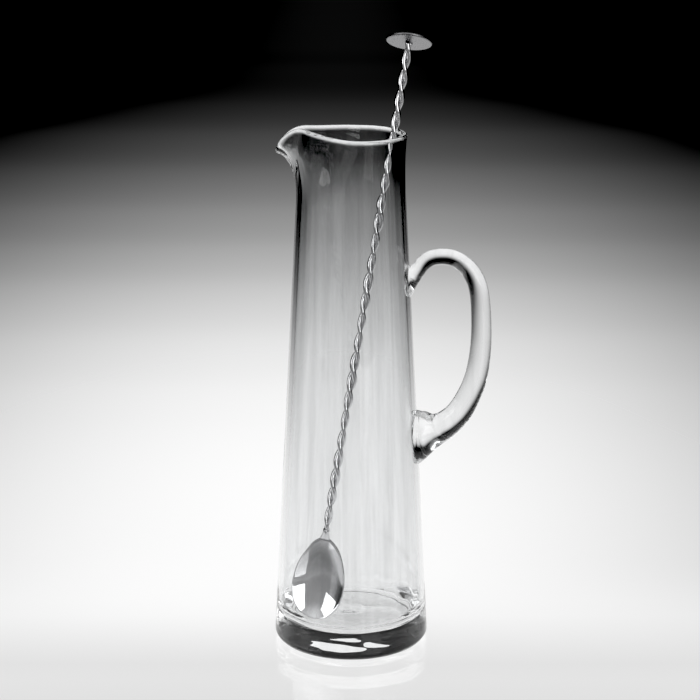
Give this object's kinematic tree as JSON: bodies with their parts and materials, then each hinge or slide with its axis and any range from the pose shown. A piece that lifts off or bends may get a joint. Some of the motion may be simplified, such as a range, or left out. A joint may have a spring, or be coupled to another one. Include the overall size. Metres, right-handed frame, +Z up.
{
  "type": "cocktail pitcher",
  "caption": "Tall tapered clear glass pitcher with pinched pouring lip, heavy base and applied rod handle, holding a long twisted-stem stirring spoon with a flat disc end.",
  "frame": {"origin": "centre of the flat base's underside, where the pitcher's axis meets the table", "axes": "+Z up along the pitcher's axis; +X towards the handle, so the pouring lip points to -X; +Y completes the right-handed frame"},
  "size_m": [0.1264, 0.091, 0.3578],
  "materials": {
    "clear_glass": "clear, fire-polished, with faint optic ribs inside",
    "handle_glass": "clear, solid, fire-polished",
    "polished_steel": "mirror-polished stainless steel",
    "polished_wire": "bright drawn stainless steel wire"
  },
  "bodies": {
    "pitcher": {"glass_body": "clear_glass", "handle": "handle_glass"},
    "spoon": {"spoon_bowl": "polished_steel", "spoon_neck": "polished_steel", "stem_wire_a": "polished_wire", "stem_wire_b": "polished_wire", "spoon_disc": "polished_steel"}
  },
  "joints": [
    {"name": "spoon_lift", "type": "slide", "parent": "pitcher", "child": "spoon", "axis": [0.101, 0.079, 0.9917], "range_m": [0, 0.3]}
  ]
}
